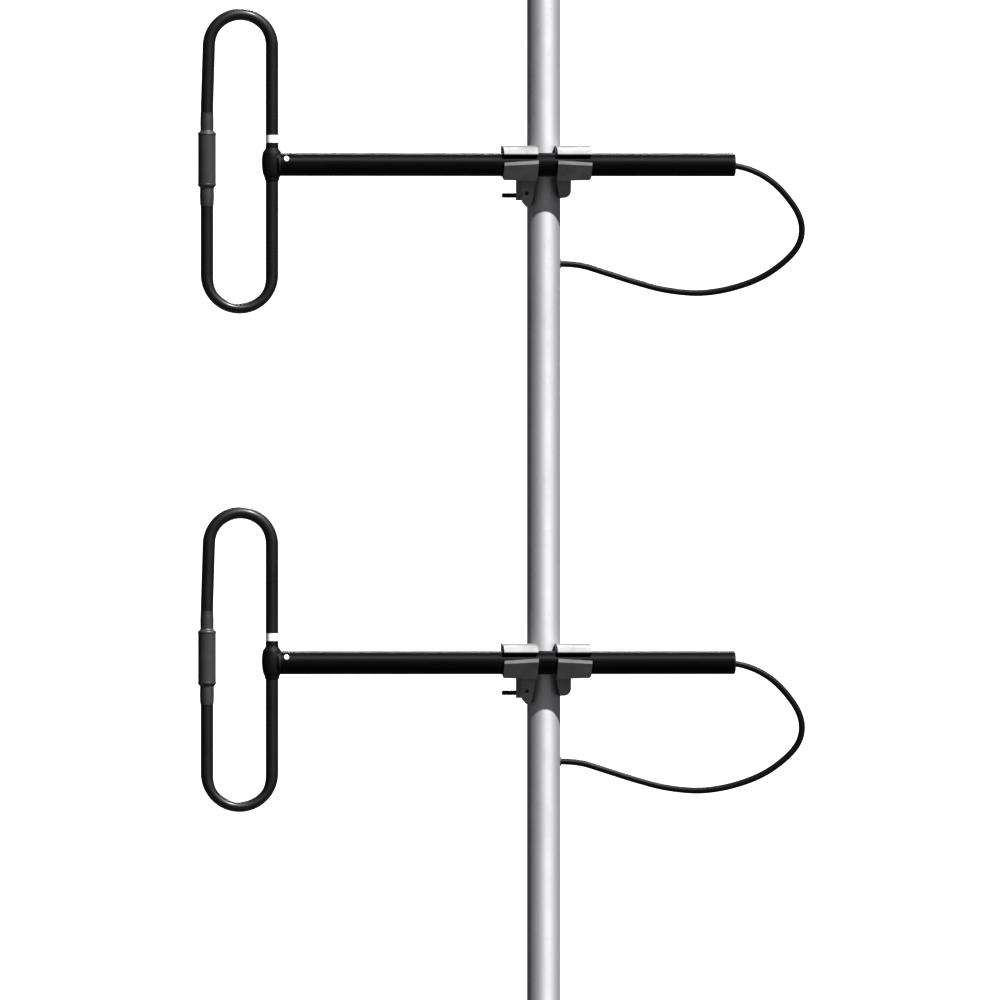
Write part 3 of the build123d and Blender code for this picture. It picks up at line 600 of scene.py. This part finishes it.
JOIN_DISTANCE = 0.000001
FLAT_WITHIN = math.radians(0.6)
MOULD_RADIUS = 0.0007
MOULD_EDGE_TURN = math.radians(28)
ALL_SMOOTH = 180.0


def baked(piece):
    """Turns a piece's modifiers into plain mesh."""
    graph = bpy.context.evaluated_depsgraph_get()
    data = bpy.data.meshes.new_from_object(piece.evaluated_get(graph))
    piece.modifiers.clear()
    piece.data = data


def cad_copy(node):
    """The CAD node's mesh as a bmesh, with doubled points joined and flat faces merged."""
    mesh = bmesh.new()
    mesh.from_mesh(frame["nodes"][node].data)
    bmesh.ops.remove_doubles(mesh, verts=mesh.verts, dist=JOIN_DISTANCE)
    bmesh.ops.dissolve_limit(mesh, angle_limit=FLAT_WITHIN, verts=mesh.verts, edges=mesh.edges)
    return mesh


def rounded_casting(bay, name):
    """A copy of one of the clamp's castings with rounded corners."""
    node = f"{bay}_{name}"
    piece = new_object(f"{node}_cast", cad_copy(node), "cast_aluminium", ALL_SMOOTH)
    for layer in [a for a in piece.data.attributes if a.name == "custom_normal"]:
        piece.data.attributes.remove(layer)
    bevel = piece.modifiers.new("mould_radius", "BEVEL")
    bevel.width = MOULD_RADIUS
    bevel.segments = 3
    bevel.limit_method = "ANGLE"
    bevel.angle_limit = MOULD_EDGE_TURN
    bevel.harden_normals = True
    baked(piece)
    finish_piece(piece, f"{bay}_clamp", node)


FILLET_GRID = 0.00045
FILLET_PASSES = 6


def feed_casting(bay):
    """The casting's belly runs into the boom and the loop tube with small cast fillets."""
    node = f"{bay}_feed_casting"
    piece = new_object(f"{node}_cast", cad_copy(node), "black_coated_casting", ALL_SMOOTH)
    grid = piece.modifiers.new("skin", "REMESH")
    grid.mode = "VOXEL"
    grid.voxel_size = FILLET_GRID
    grid.use_smooth_shade = True
    soften = piece.modifiers.new("fillets", "CORRECTIVE_SMOOTH")
    soften.iterations = FILLET_PASSES
    soften.use_only_smooth = True
    baked(piece)
    finish_piece(piece, f"{bay}_boom", node)


# ---- loop arms, heights from the boom's axis ----

LOOP_R = 0.0062
LOOP_BORE_R = 0.0047
LOOP_SIDES = 40
LOOP_INNER_X = -0.2771
LOOP_OUTER_X = -0.3426
LOOP_TOP = 0.1563
LOOP_BOTTOM = -0.1498
TOP_BEND_R = 0.0318
BOTTOM_BEND_R = 0.03275
INSULATOR_TOP = 0.0297
ARM_SOCKET_TOP = -0.0080
JOINT_Z = 0.0050
KNEE_Z = 0.0570  # where the outer side stops being upright and leans towards the bend
KNEE_REACH = 0.0048
KNEE_STEPS = 8
RING_STEP = 0.0020
BEND_STEPS = 72

# How far the bender pressed the tube flat, as a share of its radius, and how that fades in along the bend.
TOP_BEND_THINNING = 0.06
BOTTOM_BEND_THINNING = 0.17
BEND_WIDENING = 0.3
BEND_RUN_IN = 0.024


def straight(a, b, out):
    """Points of a straight run: (point, outward direction, how far into a bend)."""
    count = max(2, round((b - a).length / RING_STEP))
    return [(a.lerp(b, i / count), out, 0.0) for i in range(count + 1)]


def loop_arm_line(inner_end, side, bend_r):
    """Centre line of one arm as (point, outward direction in the loop's plane, how far into the bend).
    It runs from the boom's side round the bend and on to the joint. Side is 1 for the upper arm, -1 for
    the lower."""
    extreme = LOOP_TOP if side > 0 else LOOP_BOTTOM
    centre = Vector((LOOP_INNER_X - bend_r, BOOM_Y, extreme - side * (LOOP_R + bend_r)))
    inner, outer = Vector((1, 0, 0)), Vector((-1, 0, 0))
    line = straight(Vector((LOOP_INNER_X, BOOM_Y, inner_end)), centre + inner * bend_r, inner)

    # the bend ends where its tangent meets the knee
    across = centre.x - LOOP_OUTER_X
    along_side = side * centre.z - KNEE_Z
    lean = math.acos(min(1, bend_r / math.hypot(across, along_side))) - math.atan2(along_side, across)
    sweep = math.pi - lean
    for i in range(1, BEND_STEPS):
        turn = sweep * i / BEND_STEPS
        out = Vector((math.cos(turn), 0, side * math.sin(turn)))
        reach = min(i, BEND_STEPS - i) / BEND_STEPS * sweep * bend_r
        line.append((centre + out * bend_r, out, min(1, reach / BEND_RUN_IN)))

    # the leaning run, the knee and the upright run to the joint
    leaning = Vector((math.cos(sweep), 0, side * math.sin(sweep)))
    bend_end = centre + leaning * bend_r
    knee = Vector((LOOP_OUTER_X, BOOM_Y, side * KNEE_Z))
    above = knee + (bend_end - knee).normalized() * KNEE_REACH
    below = knee + Vector((0, 0, -side * KNEE_REACH))
    line += straight(bend_end, above, leaning)
    for i in range(1, KNEE_STEPS):
        t = i / KNEE_STEPS
        at = above.lerp(knee, t).lerp(knee.lerp(below, t), t)
        line.append((at, leaning.lerp(outer, t).normalized(), 0.0))
    line += straight(below, Vector((LOOP_OUTER_X, BOOM_Y, JOINT_Z)), outer)
    return line


def loop_arm(bay, height, end, line, thinning):
    """Bent tube: the inner side of its bend is pressed a little flat, as a tube bender leaves it."""
    mesh = bmesh.new()
    mesh.loops.layers.uv.new("UVMap")
    shells = {LOOP_R: [], LOOP_BORE_R: []}
    run, length = [], 0.0
    for i, (point, out, bend) in enumerate(line):
        if i:
            length += (point - line[i - 1][0]).length
        press = bend * bend * (3 - 2 * bend) * thinning * LOOP_R
        centre = point + out * press + Vector((0, 0, height))
        for radius, rings in shells.items():
            ring = []
            for k in range(LOOP_SIDES):
                a = math.tau * k / LOOP_SIDES
                across = Vector((0, (radius + press * BEND_WIDENING) * math.sin(a), 0))
                ring.append(mesh.verts.new(centre + out * ((radius - press) * math.cos(a)) + across))
            rings.append(ring)
        run.append(length)
    outside, bore = shells.values()
    skin(mesh, outside, run)
    skin(mesh, bore, run)
    for i in (0, -1):
        for k in range(LOOP_SIDES):
            n = (k + 1) % LOOP_SIDES
            mesh.faces.new((outside[i][k], outside[i][n], bore[i][n], bore[i][k]))
    bmesh.ops.recalc_face_normals(mesh, faces=mesh.faces)
    arm = new_object(f"{bay}_{end}_arm_bent", mesh, "black_coated_loop")
    finish_piece(arm, f"{bay}_boom", f"{bay}_loop_{end}_arm")


# ---- turned pieces ----


def turned(rings, place, sides, closed=False):
    """A turned piece about place's z axis. Each ring is (height, radius), and a radius may depend on the
    angle. A closed piece has no ends: its last ring meets its first."""
    mesh = bmesh.new()
    rows = []
    for height, radius in rings:
        row = []
        for k in range(sides):
            a = math.tau * k / sides
            r = radius(a) if callable(radius) else radius
            row.append(mesh.verts.new(place @ Vector((r * math.cos(a), r * math.sin(a), height))))
        rows.append(row)
    pairs = list(zip(rows, rows[1:]))
    if closed:
        pairs.append((rows[-1], rows[0]))
    else:
        mesh.faces.new(rows[0])
        mesh.faces.new(rows[-1])
    for lower, upper in pairs:
        for k in range(sides):
            n = (k + 1) % sides
            mesh.faces.new((lower[k], lower[n], upper[n], upper[k]))
    bmesh.ops.recalc_face_normals(mesh, faces=mesh.faces)
    return mesh


def joined(meshes):
    """Several bmeshes as one."""
    whole = bmesh.new()
    for mesh in meshes:
        data = bpy.data.meshes.new("joined")
        mesh.to_mesh(data)
        mesh.free()
        whole.from_mesh(data)
        bpy.data.meshes.remove(data)
    return whole


# ---- shrink-on seals over both ends of the joint's sleeve ----

SLEEVE_R = 0.0088
SLEEVE_END = 0.0275  # from the joint's middle
SEAL_UPPER_R = 0.0065
SEAL_LOWER_R = 0.0069
SEAL_FAR = 0.0470
SEAL_FILM = 0.00025
SEAL_RING_STEP = 0.0008
SEAL_SIDES = 72
CRINKLE_DEPTH = 0.00009
CRINKLES_AROUND = 2.2
CRINKLES_PER_METRE = 420
CRINKLE_OFFSET = 9  # keeps the two seals of a joint from being alike


def seal_outline(radius):
    """Outer and inner side of a seal, as (distance from the joint's middle, radius). It runs over the
    sleeve's end as a film."""
    lip = SLEEVE_R + SEAL_FILM
    touching = LOOP_R + 0.00005
    outside = [
        (SEAL_FAR, touching),
        (SEAL_FAR, LOOP_R + SEAL_FILM),
        (SEAL_FAR - 0.0030, radius - 0.0001),
        (SEAL_FAR - 0.0080, radius + 0.0001),
        (SEAL_FAR - 0.0130, radius + 0.0001),
        (SEAL_FAR - 0.0175, radius),
        (SLEEVE_END + 0.0010, radius + 0.0002),
        (SLEEVE_END + 0.0003, radius + 0.0007),
        (SLEEVE_END - 0.0003, lip - 0.0009),
        (SLEEVE_END - 0.0011, lip - 0.0002),
        (SLEEVE_END - 0.0017, lip),
        (SLEEVE_END - 0.0029, lip),
    ]
    inside = [
        (SLEEVE_END - 0.0032, lip - 0.0001),
        (SLEEVE_END - 0.0032, SLEEVE_R - 0.0004),
        (SLEEVE_END - 0.0013, SLEEVE_R - 0.0012),
        (SLEEVE_END - 0.0001, touching),
    ]
    return outside, inside


def seal(side, radius, height):
    """One seal, with a slight crinkle in its outer side."""

    def crinkled(at, r):
        def at_angle(angle):
            around = Vector((math.cos(angle), math.sin(angle), 0)) * CRINKLES_AROUND
            spot = around + Vector((0, 0, at * CRINKLES_PER_METRE + side * CRINKLE_OFFSET))
            return r + CRINKLE_DEPTH * noise.noise(spot)

        return at_angle

    outside, inside = seal_outline(radius)
    rings = []
    for a, b in zip(outside, outside[1:] + inside[:1]):
        steps = max(1, round(abs(a[0] - b[0]) / SEAL_RING_STEP))
        for j in range(steps):
            t = j / steps
            at, r = a[0] + (b[0] - a[0]) * t, a[1] + (b[1] - a[1]) * t
            rings.append((side * at, crinkled(at, r)))
    rings += [(side * at, r) for at, r in inside]
    place = Matrix.Translation((LOOP_OUTER_X, BOOM_Y, height + JOINT_Z))
    return turned(rings, place, SEAL_SIDES, closed=True)


def joint_seals(bay, height):
    seals = joined([seal(1, SEAL_UPPER_R, height), seal(-1, SEAL_LOWER_R, height)])
    piece = new_object(f"{bay}_joint_seals", seals, "sealing_collar", 50.0)
    finish_piece(piece, f"{bay}_boom", f"{bay}_joint_collars")


# ---- fasteners, heights from the boom's axis ----

M5_R = 0.0025
M5_PITCH = 0.0008
M5_HEAD_R = 0.00425
M5_HEAD = 0.0050
M5_KEY = 0.0040
KNURLS = 36
KNURL_DEPTH = 0.014  # share of the head's radius

CAP_SCREW_SPOTS = (0.0205, 0.0370)
CAP_SCREW_Y = -0.0130
CAP_SCREW_SEAT = 0.0136
CAP_SCREW_END = -0.0080

STUD_TIP_X = -0.0400
STUD_END_X = 0.0190
STUD_Y = 0.0215
STUD_Z = -0.0306
THREAD_DEPTH = 0.58  # share of the pitch
THREAD_FADE = 1.5  # turns
THREAD_SIDES = 32

# Along one turn: (share of the pitch, how far down from crest 0 to root 1).
THREAD_PROFILE = ((0.0, 1.0), (0.06, 1.0), (0.44, 0.0), (0.56, 0.0), (0.94, 1.0))

LUG_X = -0.0194
NUT_BORE_R = M5_R + 0.00008
WASHER_R = 0.0050
WASHER_THICKNESS = 0.0010
WASHER_EDGE = 0.00012
WASHER_SIDES = 64
NUT_FLATS = 0.0080
NUT_THICKNESS = 0.0040
NUT_CHAMFERS = (0.00022, 0.00050)
NUT_SIDES = 72


def hexagon(across_flats, largest=math.inf):
    """Radius of a hexagon by angle, with corners cut back to the largest radius."""

    def radius(a):
        turn = (a % (math.pi / 3)) - math.pi / 6
        return min(across_flats / 2 / math.cos(turn), largest)

    return radius


def knurled(radius):
    """Radius of a knurled round by angle."""
    return lambda a: radius * (1 - KNURL_DEPTH * abs(math.sin(KNURLS / 2 * a)))


def along(start, direction):
    """Placement with z along a direction."""
    return Matrix.Translation(start) @ Vector(direction).to_track_quat("Z", "Y").to_matrix().to_4x4()


def socket_screw(length, place):
    """M5 socket head screw: knurled head with a hexagon recess. Its seat is at place's origin."""
    rings = [
        (-length, M5_R * 0.8),
        (-length + M5_R * 0.3, M5_R),
        (0.0, M5_R),
        (0.0, M5_HEAD_R * 0.94),
        (M5_HEAD * 0.06, knurled(M5_HEAD_R)),
        (M5_HEAD * 0.80, knurled(M5_HEAD_R)),
        (M5_HEAD * 0.93, M5_HEAD_R * 0.985),
        (M5_HEAD * 0.985, M5_HEAD_R * 0.94),
        (M5_HEAD, M5_HEAD_R * 0.88),
        (M5_HEAD, hexagon(M5_KEY * 1.12)),
        (M5_HEAD * 0.97, hexagon(M5_KEY)),
        (M5_HEAD * 0.50, hexagon(M5_KEY)),
        (M5_HEAD * 0.47, hexagon(M5_KEY * 0.9)),
        (M5_HEAD * 0.38, 0.0004),
    ]
    return turned(rings, place, 2 * KNURLS)


def cap_screws(bay, height):
    screws = []
    for x in CAP_SCREW_SPOTS:
        for side in (-1, 1):
            seat = along((side * x, CAP_SCREW_Y, height + CAP_SCREW_SEAT), (0, 0, 1))
            screws.append(socket_screw(CAP_SCREW_SEAT - CAP_SCREW_END, seat))
    piece = new_object(f"{bay}_cap_screws_cut", joined(screws), "stainless_screw", 25.0)
    finish_piece(piece, f"{bay}_clamp", f"{bay}_clamp_cap_screws")


def thread(radius, pitch, length, place):
    """A rod with a helical thread that fades out at both ends."""
    mesh = bmesh.new()
    turns = length / pitch + 1
    rows = []
    for j in range(int(turns * THREAD_SIDES) + 1):
        a = math.tau * j / THREAD_SIDES
        row = []
        for share, drop in THREAD_PROFILE:
            z = pitch * (j / THREAD_SIDES + share - 1)
            fade = max(0, min(1, min(z, length - z) / (THREAD_FADE * pitch)))
            r = radius - THREAD_DEPTH * pitch * (1 - (1 - drop) * fade)
            z = max(0, min(length, z))
            row.append(mesh.verts.new(place @ Vector((r * math.cos(a), r * math.sin(a), z))))
        rows.append(row)
    for j in range(len(rows) - 1):
        here, after = rows[j], rows[j + 1]
        for m in range(len(THREAD_PROFILE) - 1):
            mesh.faces.new((here[m], after[m], after[m + 1], here[m + 1]))
        if j + 1 + THREAD_SIDES < len(rows):
            next_turn, next_after = rows[j + THREAD_SIDES], rows[j + 1 + THREAD_SIDES]
            mesh.faces.new((here[-1], after[-1], next_after[0], next_turn[0]))
    bmesh.ops.remove_doubles(mesh, verts=mesh.verts, dist=JOIN_DISTANCE)
    bmesh.ops.dissolve_degenerate(mesh, edges=mesh.edges, dist=JOIN_DISTANCE)
    bmesh.ops.holes_fill(mesh, edges=[e for e in mesh.edges if e.is_boundary])
    bmesh.ops.recalc_face_normals(mesh, faces=mesh.faces)
    return mesh


def stud(bay, height):
    place = along((STUD_TIP_X, STUD_Y, height + STUD_Z), (1, 0, 0))
    rod = thread(M5_R, M5_PITCH, STUD_END_X - STUD_TIP_X, place)
    piece = new_object(f"{bay}_stud_threaded", rod, "dark_stud", 50.0)
    finish_piece(piece, f"{bay}_clamp", f"{bay}_clamp_stud")


def washer(bay, place):
    """Pressed washer, more rounded on one side than on the other."""
    rings = [
        (0.0, NUT_BORE_R),
        (0.0, WASHER_R - WASHER_EDGE),
        (WASHER_EDGE, WASHER_R),
        (WASHER_THICKNESS - 2 * WASHER_EDGE, WASHER_R),
        (WASHER_THICKNESS, WASHER_R - 2 * WASHER_EDGE),
        (WASHER_THICKNESS, NUT_BORE_R),
    ]
    mesh = turned(rings, place, WASHER_SIDES, closed=True)
    piece = new_object(f"{bay}_washer_pressed", mesh, "stainless_screw", 30.0)
    finish_piece(piece, f"{bay}_clamp", f"{bay}_clamp_washer")


def nut(bay, place):
    """Hexagon nut with chamfered corners and bore, on top of the washer."""
    low = WASHER_THICKNESS
    high = WASHER_THICKNESS + NUT_THICKNESS
    face_r = NUT_FLATS * 0.47
    cut_corners = hexagon(NUT_FLATS, NUT_FLATS * 0.525)
    countersink = 0.0003
    rings = [
        (low, NUT_BORE_R + countersink),
        (low, face_r),
        (low + NUT_CHAMFERS[0], cut_corners),
        (low + NUT_CHAMFERS[1], hexagon(NUT_FLATS)),
        (high - NUT_CHAMFERS[1], hexagon(NUT_FLATS)),
        (high - NUT_CHAMFERS[0], cut_corners),
        (high, face_r),
        (high, NUT_BORE_R + countersink),
        (high - countersink, NUT_BORE_R),
        (low + countersink, NUT_BORE_R),
    ]
    mesh = turned(rings, place, NUT_SIDES, closed=True)
    piece = new_object(f"{bay}_nut_chamfered", mesh, "stainless_screw", 30.0)
    finish_piece(piece, f"{bay}_clamp", f"{bay}_clamp_nut")


def loop_arms(bay, height):
    top = loop_arm_line(INSULATOR_TOP, 1, TOP_BEND_R)
    loop_arm(bay, height, "top", top, TOP_BEND_THINNING)
    bottom = loop_arm_line(ARM_SOCKET_TOP, -1, BOTTOM_BEND_R)
    loop_arm(bay, height, "bottom", bottom, BOTTOM_BEND_THINNING)


for bay_name, bay_height in BAYS.items():
    loop_cable(bay_name, bay_height)
    loop_arms(bay_name, bay_height)
    joint_seals(bay_name, bay_height)
    for casting in ("clamp_body", "clamp_right_cap", "clamp_left_cap"):
        rounded_casting(bay_name, casting)
    cap_screws(bay_name, bay_height)
    stud(bay_name, bay_height)
    lug = along((LUG_X, STUD_Y, bay_height + STUD_Z), (-1, 0, 0))
    washer(bay_name, lug)
    nut(bay_name, lug)
    feed_casting(bay_name)
